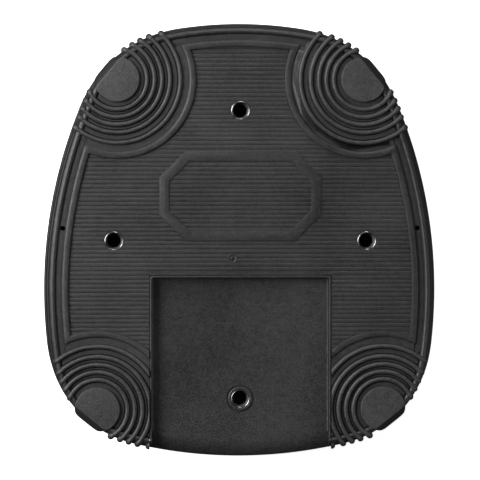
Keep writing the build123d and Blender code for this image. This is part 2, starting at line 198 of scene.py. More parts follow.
def tidy(piece, merge=1e-6):
    """Merges doubles, drops stray edges and recalculates the normals outwards."""
    work = bmesh.new()
    work.from_mesh(piece.data)
    bmesh.ops.remove_doubles(work, verts=work.verts, dist=merge)
    bmesh.ops.dissolve_degenerate(work, dist=merge, edges=work.edges)
    bmesh.ops.recalc_face_normals(work, faces=work.faces)
    work.to_mesh(piece.data)
    work.free()


def loft(name, rings, wrap=False):
    """Joins closed loops of equal length. The ends are capped, or joined to each other if wrap is set."""
    count = len(rings[0])
    faces = []
    levels = len(rings) if wrap else len(rings) - 1
    for level in range(levels):
        a, b = level * count, (level + 1) % len(rings) * count
        faces += [(a + i, a + (i + 1) % count, b + (i + 1) % count, b + i) for i in range(count)]
    if not wrap:
        faces.append(tuple(reversed(range(count))))
        faces.append(tuple(range((len(rings) - 1) * count, len(rings) * count)))
    return new_piece(name, np.concatenate(rings), faces)


def strip(name, lines):
    """Joins open lines of equal length into a closed bar: each line is one corner of its cross-section."""
    count, sides = len(lines[0]), len(lines)
    faces = []
    for s in range(sides):
        a, b = s * count, (s + 1) % sides * count
        faces += [(a + i, a + i + 1, b + i + 1, b + i) for i in range(count - 1)]
    faces.append(tuple(s * count for s in range(sides)))
    faces.append(tuple(s * count + count - 1 for s in reversed(range(sides))))
    return new_piece(name, np.concatenate(lines), faces)


def lathe(name, profile, place, segments=64):
    """Turns a closed profile of (radius, height) points round the vertical axis at place."""
    turns = np.arange(segments) * 2 * math.pi / segments
    rings = []
    for radius, height in profile:
        radius = max(radius, 1e-4)
        ring = np.stack([place[0] + radius * np.cos(turns), place[1] + radius * np.sin(turns)], 1)
        rings.append(at_height(ring, height))
    return loft(name, rings, wrap=True)


def at_height(flat, z):
    """Flat points lifted to height z."""
    return np.column_stack([flat, np.full(len(flat), float(z))])


def smooth_piece(piece, angle=32):
    """Shades a piece smooth, but keeps edges sharper than angle crisp."""
    for polygon in piece.data.polygons:
        polygon.use_smooth = True
    piece.data.set_sharp_from_angle(angle=math.radians(angle))


def applied(piece):
    """Turns a piece and its modifiers into a plain mesh."""
    graph = bpy.context.evaluated_depsgraph_get()
    mesh = bpy.data.meshes.new_from_object(piece.evaluated_get(graph))
    old = piece.data
    piece.modifiers.clear()
    piece.data = mesh
    bpy.data.meshes.remove(old)
    return piece


def carve(piece, *tools, how="DIFFERENCE"):
    """Cuts each tool out of a piece, or joins it on, and removes the tool."""
    for tool in tools:
        cut = piece.modifiers.new("cut", "BOOLEAN")
        cut.operation, cut.solver, cut.object = how, "EXACT", tool
        applied(piece)
        bpy.data.objects.remove(tool)
    tidy(piece)
    return piece


def twin(piece, name):
    """A second piece with a copy of the first one's mesh."""
    copy = bpy.data.objects.new(name, piece.data.copy())
    bpy.context.scene.collection.objects.link(copy)
    return copy


def slice_off(piece, point, normal):
    """Removes what lies beyond a plane, on the side its normal points to, and closes the cut."""
    work = bmesh.new()
    work.from_mesh(piece.data)
    found = bmesh.ops.bisect_plane(
        work, geom=work.verts[:] + work.edges[:] + work.faces[:], dist=1e-7,
        plane_co=Vector(point) * mm, plane_no=normal, clear_outer=True,
    )
    rim = [e for e in found["geom_cut"] if isinstance(e, bmesh.types.BMEdge)]
    bmesh.ops.holes_fill(work, edges=[e for e in rim if e.is_boundary])
    bmesh.ops.recalc_face_normals(work, faces=work.faces)
    work.to_mesh(piece.data)
    work.free()


# %% [markdown]
# ## The ribbed field's edge
#
# The border rib, the slats and the recess they stand in all follow one line: in from the rim at the sides
# and the top, round each rubber corner on an arc, and out again at the pocket. `field_edge` draws that line
# at any inset, again with a fixed number of points on each stretch, so that the border can be lofted from
# several of them and its corners come out mitred by themselves.

# %% Field edge helper
def even(points, count):
    """The same line with count points, spread evenly along it."""
    points = np.array(points)
    reach = np.concatenate([[0], np.cumsum(np.linalg.norm(np.diff(points, axis=0), axis=1))])
    spots = np.linspace(0, reach[-1], count)
    return np.column_stack([np.interp(spots, reach, points[:, k]) for k in (0, 1)])


def arc_points(centre, radius, start, stop, count):
    turns = np.linspace(start, stop, count)
    return np.column_stack([centre[0] + radius * np.cos(turns), centre[1] + radius * np.sin(turns)])


joint = pocket_half + lip_width + joint_gap


def field_edge(inset, arc):
    """Half of the field's edge, from the pocket's right wall round to the middle of the top."""
    line = outline(-inset, fine=10)
    line = line[: len(line) // 2 + 1]
    low, top = corner_places["lower_right"], corner_places["upper_right"]
    clear_low = np.hypot(*(line - low).T) > arc
    clear_top = np.hypot(*(line - top).T) > arc
    after_low = line[:, 1] > low[1]
    flank = line[clear_low & clear_top & after_low & (line[:, 1] < top[1])]
    crown = line[clear_top & (line[:, 1] > top[1])]

    def turn(centre, point):
        return math.atan2(point[1] - centre[1], point[0] - centre[0])

    first = math.acos((joint - low[0]) / arc)
    start, stop = turn(top, flank[-1]), turn(top, crown[0])
    stop -= 2 * math.pi if stop > start else 0
    return np.concatenate([
        arc_points(low, arc, first, turn(low, flank[0]), 36)[:-1],
        even(flank, 40)[:-1],
        arc_points(top, arc, start, stop, 56)[:-1],
        even(crown, 30),
    ])


def both_sides(half):
    """A right-hand line, joined at the top to its mirror image."""
    return np.concatenate([half, half[-2::-1] * (-1, 1)])


border_inset, border_arc, border_width = 8.7, 49.9, 4.5
print("border line points:", len(both_sides(field_edge(border_inset, border_arc))))

# %% [markdown]
# ## Materials as small sums
#
# A finish is a node tree, and most of a tree is arithmetic on patterns. `Wire` wraps a socket so that the
# arithmetic can be written as Python sums, and `Bench.make` adds any other node. The same bench builds the
# Geometry Nodes trees further down.

# %% Node helpers
class Wire:
    """An output socket that can be added, multiplied and so on."""

    def __init__(self, bench, socket):
        self.bench, self.socket = bench, socket

    def math(self, operation, *terms):
        return self.bench.make("ShaderNodeMath", {"operation": operation}, *terms)

    def __add__(self, other): return self.math("ADD", self, other)
    def __radd__(self, other): return self.math("ADD", other, self)
    def __sub__(self, other): return self.math("SUBTRACT", self, other)
    def __rsub__(self, other): return self.math("SUBTRACT", other, self)
    def __mul__(self, other): return self.math("MULTIPLY", self, other)
    def __rmul__(self, other): return self.math("MULTIPLY", other, self)
    def __truediv__(self, other): return self.math("DIVIDE", self, other)
    def __pow__(self, other): return self.math("POWER", self, other)


class Bench:
    """Adds nodes to one tree and joins them up."""

    def __init__(self, tree):
        self.tree = tree
        tree.nodes.clear()

    def make(self, kind, settings=None, *values, out=0, **named):
        """One node: its settings first, then its sockets, in order or by name with _ for a space."""
        node = self.tree.nodes.new(kind)
        for key, value in (settings or {}).items():
            setattr(node, key, value)
        pairs = list(zip(node.inputs, values))
        pairs += [(node.inputs[key.replace("_", " ")], value) for key, value in named.items()]
        for socket, value in pairs:
            if isinstance(value, Wire):
                self.tree.links.new(value.socket, socket)
            elif value is not None:
                socket.default_value = value
        wire = Wire(self, node.outputs[out]) if node.outputs else None
        if wire:
            wire.node = node
        return wire

    def ramp(self, value, low, high):
        """0 where value is below low, 1 above high, smooth between."""
        settings = {"interpolation_type": "SMOOTHSTEP"}
        return self.make("ShaderNodeMapRange", settings, value, low, high, 0.0, 1.0)

    def blend(self, factor, a, b):
        """A colour between a and b."""
        node = self.tree.nodes.new("ShaderNodeMix")
        node.data_type = "RGBA"
        for index, value in ((0, factor), (6, a), (7, b)):
            if isinstance(value, Wire):
                self.tree.links.new(value.socket, node.inputs[index])
            else:
                node.inputs[index].default_value = value if index == 0 else (*value, 1.0)
        return Wire(self, node.outputs[2])

    def noise(self, where, scale, detail=2.0, rough=0.5):
        values = {"Vector": where, "Scale": scale, "Detail": detail, "Roughness": rough}
        return self.make("ShaderNodeTexNoise", **values)

    def wave(self, where, way, scale, distortion):
        values = {"Vector": where, "Scale": scale, "Distortion": distortion}
        return self.make("ShaderNodeTexWave", {"bands_direction": way}, **values)

    def cells(self, where, scale, feature="F1"):
        return self.make("ShaderNodeTexVoronoi", {"feature": feature}, Vector=where, Scale=scale)

    def attribute(self, name):
        return self.make("GeometryNodeInputNamedAttribute", {"data_type": "FLOAT"}, name)

    def tube(self, curve, radius, sides, **more):
        """A round tube along a curve."""
        hoop = self.make("GeometryNodeCurvePrimitiveCircle", None, Resolution=sides, Radius=radius)
        return self.make("GeometryNodeCurveToMesh", None, Curve=curve, Profile_Curve=hoop, **more)

    def stretch(self, where, scale):
        """The same coordinates, stretched along each axis."""
        return self.make("ShaderNodeMapping", None, Vector=where, Scale=scale)


def new_finish(name):
    """An empty material with its bench and its Object coordinates."""
    material = bpy.data.materials.new(name)
    material.use_nodes = True
    bench = Bench(material.node_tree)
    return material, bench, bench.make("ShaderNodeTexCoord", out="Object")


def close_finish(bench, colour, roughness, height=None, depth=1.0, reach=0.0002, **constants):
    """Ends a material in one Principled shader, with a bump from height."""
    shader = bench.tree.nodes.new("ShaderNodeBsdfPrincipled")
    for key, value in constants.items():
        shader.inputs[key.replace("_", " ")].default_value = value
    feeds = {"Base Color": colour, "Roughness": roughness}
    if height is not None:
        feeds["Normal"] = bench.make("ShaderNodeBump", None, Strength=depth, Distance=reach, Height=height)
    for key, value in feeds.items():
        if isinstance(value, Wire):
            bench.tree.links.new(value.socket, shader.inputs[key])
        else:
            shader.inputs[key].default_value = (*value, 1.0) if key == "Base Color" else value
    end = bench.tree.nodes.new("ShaderNodeOutputMaterial")
    bench.tree.links.new(shader.outputs[0], end.inputs[0])


# %% [markdown]
# ## Moulded rubber finishes
#
# The shell and its corners come out of spark-eroded moulds, which leave a fine even grain. Handling adds
# faint paler scuffs and a slow change of gloss from place to place. The grain is a few tenths of a
# millimetre across, so it is a bump; anything bigger is real geometry. The steep sides and the webs between
# the rings have darker copies of the rubber with few scuffs: that darkness is painted shade, where the sides
# turn from the light and where the grooves between the rings lie in shade.

# %% Shell and bumper finishes
def moulded_rubber(name, dark, pale, gloss, grain_depth, dust=0.3):
    material, bench, here = new_finish(name)
    slow = bench.noise(here, 22.0, 3.0)
    mottle = bench.noise(here, 240.0, 4.0, 0.6)
    speckle = bench.noise(here, 1050.0, 3.0, 0.75)
    pits = bench.cells(here, 2600.0)
    scuff_noise = bench.noise(bench.stretch(here, (26.0, 620.0, 60.0)), 1.0, 5.0, 0.7)
    scuffs = bench.ramp(scuff_noise, 0.58, 0.78) * dust
    tone = slow * 0.2 + mottle * 0.2 + speckle * 0.6
    colour = bench.blend(bench.ramp(tone, 0.36, 0.64), dark, pale)
    colour = bench.blend(scuffs * 0.5, colour, tuple(min(1.0, 2.6 * c) for c in pale))
    roughness = gloss + slow * 0.1 + speckle * 0.12 + scuffs * 0.1
    height = pits * 0.5 + speckle * 1.6 + mottle * 1.2
    close_finish(bench, colour, roughness, height, grain_depth, 0.00016, IOR=1.45)
    return material


shell_finish = moulded_rubber(
    "shell_rubber", (0.007, 0.007, 0.0073), (0.034, 0.034, 0.035), 0.25, 0.85, 0.75,
)
bumper_finish = moulded_rubber(
    "bumper_rubber", (0.013, 0.013, 0.0135), (0.054, 0.054, 0.055), 0.3, 0.9,
)
# Painted shade: a darker copy of the bumper rubber for the pads' outer sides, which slope away from the top.
pad_side_shade_finish = moulded_rubber(
    "bumper_side_painted_shade", (0.009, 0.009, 0.0093), (0.024, 0.024, 0.025), 0.34, 0.5, 0.1,
)
# Painted shade: a darker copy of the bumper rubber for the webs, which lie in the grooves between the rings.
web_shade_finish = moulded_rubber(
    "bumper_web", (0.006, 0.006, 0.0062), (0.024, 0.024, 0.025), 0.36, 0.8, 0.1,
)
# Painted shade: a darker copy of the shell rubber for the steep outer wall, which turns away from the light.
wall_shade_finish = moulded_rubber(
    "rubber_side_painted_shade", (0.004, 0.004, 0.0042), (0.009, 0.009, 0.0095), 0.34, 0.4, 0.1,
)
print("made", shell_finish.name, "and", bumper_finish.name)

# %% [markdown]
# ## Steel, board, foam, leather and thread
#
# The inserts are turned steel, with rings of fine tool marks round their axes. The bore and the thread get a
# darker copy of the steel, which is painted shade down the hole. The board is plywood, the foams are
# cellular, and the cover is embossed synthetic leather.

# %% The other finishes
def turned_steel(name, pale, dark, gloss):
    material, bench, here = new_finish(name)
    marks = bench.noise(bench.stretch(here, (300.0, 300.0, 9000.0)), 1.0, 3.0)
    stain = bench.noise(here, 420.0, 4.0, 0.6)
    colour = bench.blend(bench.ramp(stain * 0.7 + marks * 0.3, 0.35, 0.7), dark, pale)
    roughness = gloss + marks * 0.15 + stain * 0.1
    close_finish(bench, colour, roughness, marks + stain * 0.3, 0.25, 0.00005, Metallic=1.0)
    return material


def plywood(name):
    material, bench, here = new_finish(name)
    plies = bench.wave(here, "Z", 260.0, 0.6)
    grain = bench.noise(bench.stretch(here, (900.0, 40.0, 900.0)), 1.0, 5.0, 0.6)
    colour = bench.blend(grain, (0.42, 0.27, 0.13), (0.66, 0.49, 0.29))
    colour = bench.blend(bench.ramp(plies, 0.55, 0.75) * 0.5, colour, (0.25, 0.15, 0.07))
    close_finish(bench, colour, 0.55 + grain * 0.25, grain + plies * 0.4, 0.4, 0.0002)
    return material


def cell_foam(name, dark, pale, size):
    material, bench, here = new_finish(name)
    cells = bench.cells(here, size)
    slow = bench.noise(here, 60.0, 3.0)
    colour = bench.blend(cells * 0.6 + slow * 0.4, dark, pale)
    close_finish(bench, colour, 0.85 + slow * 0.1, cells, 0.9, 0.0005, Sheen_Weight=0.15)
    return material


def leather(name, dark, pale):
    material, bench, here = new_finish(name)
    warp = bench.noise(here, 300.0, 2.0)
    pebble = bench.cells(here, 900.0, "DISTANCE_TO_EDGE")
    crease = bench.noise(here, 90.0, 5.0, 0.7)
    pebbles = bench.ramp(pebble + warp * 0.03, 0.02, 0.22)
    colour = bench.blend(pebbles * 0.7 + crease * 0.3, dark, pale)
    roughness = 0.58 - pebbles * 0.14 + crease * 0.12
    close_finish(bench, colour, roughness, pebbles + crease * 0.6, 0.6, 0.00025, Sheen_Weight=0.1)
    return material


def thread(name, colour):
    material, bench, here = new_finish(name)
    twist = bench.wave(here, "DIAGONAL", 900.0, 1.0)
    shade = bench.blend(twist, tuple(0.6 * c for c in colour), colour)
    close_finish(bench, shade, 0.55 + twist * 0.2, twist, 0.6, 0.0001, Sheen_Weight=0.3)
    return material


steel_finish = turned_steel("fastener_steel", (0.62, 0.62, 0.63), (0.4, 0.4, 0.41), 0.2)
insert_finish = turned_steel("insert_steel", (0.46, 0.46, 0.47), (0.28, 0.28, 0.285), 0.14)
# Painted shade: a darker copy of the insert steel for the bore and the thread.
bore_shade_finish = turned_steel("bore_steel_painted_shade", (0.16, 0.16, 0.162), (0.06, 0.06, 0.061), 0.5)
board_finish = plywood("board_wood")
filler_finish = cell_foam("filler_foam", (0.05, 0.05, 0.055), (0.14, 0.14, 0.15), 900.0)
leather_finish = leather("cover_leather", (0.012, 0.012, 0.013), (0.03, 0.03, 0.032))
thread_finish = thread("cover_thread", (0.07, 0.07, 0.072))
print("finishes:", len(bpy.data.materials))


def finish_off(piece, material, slot_name, angle=32, *nodes):
    """Material, shading and body for a finished piece, and the CAD nodes it stands for. slot_name is not used.
    """
    if material is not None:
        piece.data.materials.clear()
        piece.data.materials.append(material)
    if angle:
        smooth_piece(piece, angle)
    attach(piece, "root")
    if nodes:
        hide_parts(*nodes)
    print(f"{piece.name}: {len(piece.data.polygons)} faces")
    return piece


# %% [markdown]
# ## The rear shell
#
# The real shell is one moulding with walls about 3 mm thick. Its outside is a stack of parallel outlines:
# an upright skirt, a flared shoulder with two fine ridges, the rim, a rounded bead and the channel inside
# it. So it is lofted from those outlines. The hollow, the pocket, the recess for the field and the holes
# are then cut out with booleans, as a mould maker would think of them: as cores that leave holes.

# %% Shell body
def wall_ring(z, out=0.0):
    """The outline of the flared wall at height z, pushed out by out."""
    share = min(1.0, max(0.0, (rim_z - z) / (rim_z - shoulder_z)))
    return at_height(outline(share * flare_side + out, share * flare_end + out, share), z)


rings = [wall_ring(skirt_z, -0.8), wall_ring(skirt_z + 0.25, -0.25), wall_ring(skirt_z + 0.8)]
rings += [wall_ring(shoulder_z - 1.0), wall_ring(shoulder_z - 0.1, -0.05), wall_ring(shoulder_z + 0.9, -0.12)]
for ridge_z in (30.6, 36.1):
    bump = ((-0.9, 0.0), (-0.6, 0.34), (-0.25, 0.52), (0.25, 0.52), (0.6, 0.34), (0.9, 0.0))
    rings += [wall_ring(ridge_z + up, out) for up, out in bump]
rings += [wall_ring(rim_z - 0.6), wall_ring(rim_z), wall_ring(rim_z + 1.2)]
bead = (
    (-0.05, 1.7), (-0.15, 1.95), (-0.4, 2.25), (-0.9, 2.6), (-1.8, 3.1), (-2.2, 3.28), (-2.6, 3.3),
    (-3.3, 3.1), (-3.75, 2.75), (-4.05, 2.3), (-4.2, 1.7), (-4.35, 1.0), (-5.2, 1.1), (-8.0, 1.1), (-8.9, 1.0),
    (-9.2, 2.0), (-12.0, 2.0),
)
rings += [at_height(outline(out), rim_z + up) for out, up in bead]
blank = loft("shell_blank", rings)
print("shell blank faces:", len(blank.data.polygons))

# %% [markdown]
# The cores. The hollow keeps the pocket's own floor and walls standing, so a block is taken out of the
# hollow first. The pocket's core is a box with softened edges; a second core, bent along the lower arc,
# rolls the floor over the open end. The pocket is a tray of its own: it is the part of the blank inside
# its joint line, and the shell is the rest. A shallow seat under each corner lets the rubber's web sit
# in the shell, so that the grooves between the rings have some depth.

# %% Shell cores
def block(name, low, high, soften=0.0):
    """A box between two corners, with its edges rounded by soften."""
    (x0, y0, z0), (x1, y1, z1) = low, high
    base = np.array([(x0, y0), (x1, y0), (x1, y1), (x0, y1)])
    piece = loft(name, [at_height(base, z0), at_height(base, z1)])
    if soften:
        bevel = piece.modifiers.new("soften", "BEVEL")
        bevel.width, bevel.segments = soften * mm, 4
        applied(piece)
    return piece


hollow = loft("hollow", [
    at_height(outline(flare_side - shell_wall, flare_end - shell_wall, 1), skirt_z - 5),
    at_height(outline(flare_side - shell_wall, flare_end - shell_wall, 1), shoulder_z),
    at_height(outline(-shell_wall), deck_z - shell_wall),
])
edge = pocket_half + shell_wall
carve(hollow, block("kept", (-edge, -200, pocket_z - shell_wall), (edge, pocket_top + shell_wall, 60)))

pocket_core = block("pocket_core", (-pocket_half, -190, pocket_z), (pocket_half, pocket_top, 60), 1.1)

roll_start, roll_end = -8.5, flare_end
columns = np.linspace(-pocket_half, pocket_half, 41)
section = []
for step in range(13):
    turn = math.pi / 2 * step / 12
    reach = roll_start + (roll_end - roll_start) * math.sin(turn)
    section.append((reach, shoulder_z + (pocket_z - shoulder_z) * math.cos(turn)))
section += [(roll_end + 20, shoulder_z), (roll_end + 20, pocket_z + 3), (roll_start, pocket_z + 3)]
roll_lines = []
for reach, z in section:
    y = low_arc - half_length - np.sqrt((low_arc + reach) ** 2 - columns ** 2)
    roll_lines.append(at_height(np.column_stack([columns, y]), z))
roll_core = strip("roll_core", roll_lines)

half_edge = field_edge(border_inset + border_width / 2, border_arc + border_width / 2)
field_top = pocket_top + lip_width + joint_gap
field_line = np.concatenate([both_sides(half_edge), [(-joint, field_top), (joint, field_top)]])
field_floor_z = field_z - 0.24
field_core = loft("field_core", [at_height(field_line, field_floor_z), at_height(field_line, 60)])


def drill(x, y, radius, low, high, segments=48):
    turns = np.arange(segments) * 2 * math.pi / segments
    ring = np.column_stack([x + radius * np.cos(turns), y + radius * np.sin(turns)])
    return loft("drill", [at_height(ring, low), at_height(ring, high)])


bores = [drill(x, y, 6.42, 20, 60) for x, y, _ in insert_places.values()]
vent_y = 8.8
vent_x = half_width - 9.4
vents = [drill(s * vent_x, vent_y, 1.7, 30, 60, 24) for s in (-1, 1)]
carve(blank, hollow, pocket_core, roll_core)

tray_seat_z = shoulder_z + 0.5
lip_edge = pocket_half + lip_width
tray_block = block("tray_block", (-lip_edge, -200, tray_seat_z), (lip_edge, pocket_top + lip_width, 60), 0.5)
joint_block = block("joint_block", (-joint, -200, tray_seat_z), (joint, field_top, 60), 0.5)

bottom_x, bottom_y, _ = insert_places["bottom"]
groove = [(8.5, 1.0), (8.5, -0.15), (8.7, -0.8), (9.25, -0.8), (9.6, 0.1), (9.6, 1.0)]
groove_core = lathe("groove_core", [(r, pocket_z + up) for r, up in groove], (bottom_x, bottom_y))
tray = carve(twin(blank, "grip_tray_moulding"), tray_block, how="INTERSECT")
carve(tray, groove_core, bores.pop())
finish_off(tray, shell_finish, "shell_rubber", 28, "grip_tray")
collar = [(6.42, -0.6), (6.42, 0.2), (6.6, 0.32), (7.8, 0.32), (8.25, 0.18), (8.48, -0.1), (8.5, -0.6)]
finish_off(
    lathe("insert_collar_bottom", [(r, pocket_z + up) for r, up in collar], (bottom_x, bottom_y)),
    shell_finish, "shell_rubber", 40,
)
seats = []
for x, y in corner_places.values():
    seat_limit = loft("seat_limit", [at_height(outline(-5.25, fine=2), z) for z in (deck_z - 2, 61)])
    seats.append(carve(drill(x, y, seat_radius, deck_z - 1.1, 60, 160), seat_limit, how="INTERSECT"))
shell = carve(blank, joint_block, field_core, *bores, *vents, *seats)
shell.name = "rear_shell_moulding"
shell.data.materials.append(shell_finish)
shell.data.materials.append(wall_shade_finish)
# Painted shade: the steep faces of the outer wall take the second, darker finish.
middles = np.array([polygon.center / mm for polygon in shell.data.polygons])
outer = (inside_rim(middles[:, :2]) < 0.15) & (middles[:, 2] < rim_z + 0.5)
for polygon, wall in zip(shell.data.polygons, outer):
    polygon.material_index = 1 if wall and polygon.normal.z < 0.6 else 0
finish_off(shell, None, "shell_rubber", 28, "rear_shell")

# %% [markdown]
# ## The border rib
#
# A raised rib with a flat top frames the field. Its cross-section is drawn once, as insets and heights, and
# each point of it becomes one line of a strip. Where the outline meets a corner arc, the lines meet too, so
# the mitres need no special care.

# %% Border rib
rib_section = (
    (0.0, -1.6), (0.05, 0.6), (0.2, 0.85), (0.95, 1.22), (1.3, 1.32), (4.0, 1.32), (4.3, 1.22),
    (4.45, 0.95), (4.5, -1.4),
)
rib_lines = []
for across, up in rib_section:
    line = both_sides(field_edge(border_inset + across, border_arc + across))
    rib_lines.append(at_height(line, deck_z + up))
border = strip("border_rib", rib_lines)
finish_off(border, shell_finish, "shell_rubber", 40)

# %% [markdown]
# ## Geometry Nodes: a short workshop
#
# What repeats is made by Geometry Nodes. `new_tree` opens a tree with named inputs, and `grow` runs a tree
# on a seed mesh, sets its inputs by identifier and freezes the result into a plain mesh.

# %% Geometry Nodes helpers
def new_tree(name, **inputs):
    """A Geometry Nodes tree with a Geometry input and one named number input for each keyword."""
    tree = bpy.data.node_groups.new(name, "GeometryNodeTree")
    tree.interface.new_socket("Geometry", in_out="INPUT", socket_type="NodeSocketGeometry")
    for key, value in inputs.items():
        kind = "NodeSocketInt" if isinstance(value, int) else "NodeSocketFloat"
        tree.interface.new_socket(key, in_out="INPUT", socket_type=kind).default_value = value
    tree.interface.new_socket("Geometry", in_out="OUTPUT", socket_type="NodeSocketGeometry")
    bench = Bench(tree)
    entry = tree.nodes.new("NodeGroupInput")
    wires = {socket.name: Wire(bench, socket) for socket in entry.outputs if socket.name}
    return tree, bench, wires


def close_tree(bench, geometry, material):
    """Realize Instances, Set Material, and out."""
    real = bench.make("GeometryNodeRealizeInstances", None, geometry)
    done = bench.make("GeometryNodeSetMaterial", None, Geometry=real, Material=material)
    end = bench.tree.nodes.new("NodeGroupOutput")
    bench.tree.links.new(done.socket, end.inputs[0])


def grow(name, tree, seed, **values):
    """Runs a tree on a seed mesh and returns the frozen piece."""
    piece = bpy.data.objects.new(name, seed)
    bpy.context.scene.collection.objects.link(piece)
    work = piece.modifiers.new("grow", "NODES")
    work.node_group = tree
    for item in tree.interface.items_tree:
        if item.in_out == "INPUT" and item.name in values:
            work[item.identifier] = values[item.name]
    applied(piece)
    return piece


def seed_points(points, **attributes):
    """A mesh of loose points in millimetres, with number attributes."""
    mesh = bpy.data.meshes.new("seed")
    mesh.from_pydata([tuple(np.array(p) * mm) for p in points], [], [])
    for key, values in attributes.items():
        mesh.attributes.new(key, "FLOAT", "POINT").data.foreach_set("value", np.array(values, np.float32))
    return mesh


def seed_lines(lines, closed=False, **attributes):
    """A mesh of polylines in millimetres, with number attributes for their points."""
    points, edges = [], []
    for line in lines:
        first = len(points)
        points += [tuple(np.array(p) * mm) for p in line]
        edges += [(first + i, first + i + 1) for i in range(len(line) - 1)]
        if closed:
            edges.append((len(points) - 1, first))
    mesh = bpy.data.meshes.new("seed")
    mesh.from_pydata(points, edges, [])
    for key, values in attributes.items():
        mesh.attributes.new(key, "FLOAT", "POINT").data.foreach_set("value", np.array(values, np.float32))
    return mesh


# %% [markdown]
# ## The slats
#
# The field is filled with fine slats 3 mm apart. Each is a bar with rounded edges that stops under the
# border rib. A bar's length differs from row to row, so Python works out where each row enters and leaves
# the field, and Geometry Nodes puts a bar there, stretched to that length.

# %% Slats
slat_pitch, slat_width, slat_sink, slat_stray = 3.0, 2.6, 0.57, 0.07


def spans(line, y):
    """The stretches of a closed line's inside at height y."""
    a, b = line, np.roll(line, -1, axis=0)
    hit = (a[:, 1] > y) != (b[:, 1] > y)
    a, b = a[hit], b[hit]
    xs = np.sort(a[:, 0] + (y - a[:, 1]) * (b[:, 0] - a[:, 0]) / (b[:, 1] - a[:, 1]))
    return list(zip(xs[::2], xs[1::2]))


def without(stretches, low, high):
    """Takes low..high out of a list of stretches."""
    left = []
    for a, b in stretches:
        if high <= a or low >= b:
            left.append((a, b))
        else:
            left += [(a, low)] if low > a else []
            left += [(high, b)] if high < b else []
    return left


land_radius = 6.95
slat_places, slat_lengths, slat_widths = [], [], []
rows = int(half_length / slat_pitch)
for row in range(-rows, rows):
    y = (row + 0.5) * slat_pitch
    stretches = spans(field_line, y)
    if y < field_top + 1.8:
        stretches = without(stretches, -joint, joint)
    for x, insert_y, _ in list(insert_places.values())[:3]:
        if abs(y - insert_y) < land_radius:
            cut = math.sqrt(land_radius ** 2 - (y - insert_y) ** 2)
            stretches = without(stretches, x - cut, x + cut)
    for a, b in stretches:
        if b - a > 1:
            stray = slat_stray * math.sin(row * 2.4) * math.sin(row * 5.1)
            slat_places.append(((a + b) / 2, y, field_z - slat_sink + stray))
            slat_lengths.append((b - a) * mm)
            slat_widths.append(0.97 + 0.045 * math.sin(row * 3.7))

tree, bench, wires = new_tree("slat_tree", Width=0.002, Height=0.001, Rounding=0.0003)
bar_path = bench.make("GeometryNodeCurvePrimitiveLine", None, Start=(-0.5, 0, 0), End=(0.5, 0, 0))
bar_section = bench.make("GeometryNodeCurvePrimitiveQuadrilateral", None, wires["Width"], wires["Height"])
rounded = bench.make(
    "GeometryNodeFilletCurve", {"mode": "POLY"}, Curve=bar_section, Count=3, Radius=wires["Rounding"],
)
bar = bench.make("GeometryNodeCurveToMesh", None, Curve=bar_path, Profile_Curve=rounded, Fill_Caps=True)
length = bench.attribute("length")
breadth = bench.attribute("breadth")
size = bench.make("ShaderNodeCombineXYZ", None, length, breadth, 1.0)
bars = bench.make("GeometryNodeInstanceOnPoints", None, Points=wires["Geometry"], Instance=bar, Scale=size)
close_tree(bench, bars, shell_finish)
seed = seed_points(slat_places, length=slat_lengths, breadth=slat_widths)
slats = grow("field_slats", tree, seed, Width=slat_width * mm, Height=0.0011, Rounding=0.00034)
finish_off(slats, None, "shell_rubber", 35)
print("slats:", len(slat_lengths))

# %% [markdown]
# ## Smooth places in the field
#
# Round each insert the slats stop at a smooth land. The pocket has a narrow lip along its edge. In the
# middle stand a plain eight-sided badge, which carries no mark, and the small round pip where the mould was
# filled.

# %% Lands, lip, badge and pip
land_section = ((6.42, 1.2), (6.42, 0.2), (6.52, 0.05), (6.85, 0.05), (7.0, 0.3), (7.05, 1.2))
for place in ("top", "left", "right"):
    x, y, top = insert_places[place]
    land = lathe(f"insert_land_{place}", [(r, top - down) for r, down in land_section], (x, y))
    finish_off(land, shell_finish, "shell_rubber", 40)


def pocket_line(out):
    """The pocket's edge, pushed out by out: up one side, across the top and down the other."""
    x, y, soft = pocket_half + out, pocket_top + out, 1.8 + out
    reach = low_arc - 0.6
    end_y = low_arc - half_length - math.sqrt(reach ** 2 - x ** 2)
    right = np.concatenate([
        [(x, end_y)], even([(x, end_y + 1), (x, y - soft)], 20),
        arc_points((x - soft, y - soft), soft, 0, math.pi / 2, 9)[1:],
    ])
    across = even([(x - soft, y), (soft - x, y)], 12)[1:-1]
    return np.concatenate([right, across, right[::-1] * (-1, 1)])


lip_section = (
    (0.0, -1.5), (0.0, -0.15), (0.15, 0.02), (0.4, 0.1), (0.95, 0.1), (1.2, 0.02), (1.33, -0.15), (1.33, -1.5),
)
lip = strip("pocket_lip", [at_height(pocket_line(out), deck_z + up) for out, up in lip_section])
finish_off(lip, shell_finish, "shell_rubber", 40)

badge_half, badge_tall, badge_cut, badge_y = 56.0, 31.0, 18.0, 31.0


def octagon(inset):
    x, y = badge_half - inset, badge_tall - inset
    cut = badge_cut - inset * (2 - math.sqrt(2))
    quarter = [(x, y - cut), (x - cut, y)]
    points = quarter + [(-a, b) for a, b in quarter[::-1]]
    points += [(-a, -b) for a, b in points]
    return np.array([(a, b + badge_y) for a, b in points])


badge_section = (
    (0.0, -1.0), (0.0, 0.35), (0.15, 0.55), (0.4, 0.62), (6.6, 0.62), (6.85, 0.55), (7.0, 0.35), (7.0, -1.0),
)
badge = loft("plain_badge", [at_height(octagon(t), field_z + up) for t, up in badge_section], wrap=True)
finish_off(badge, shell_finish, "shell_rubber", 25)

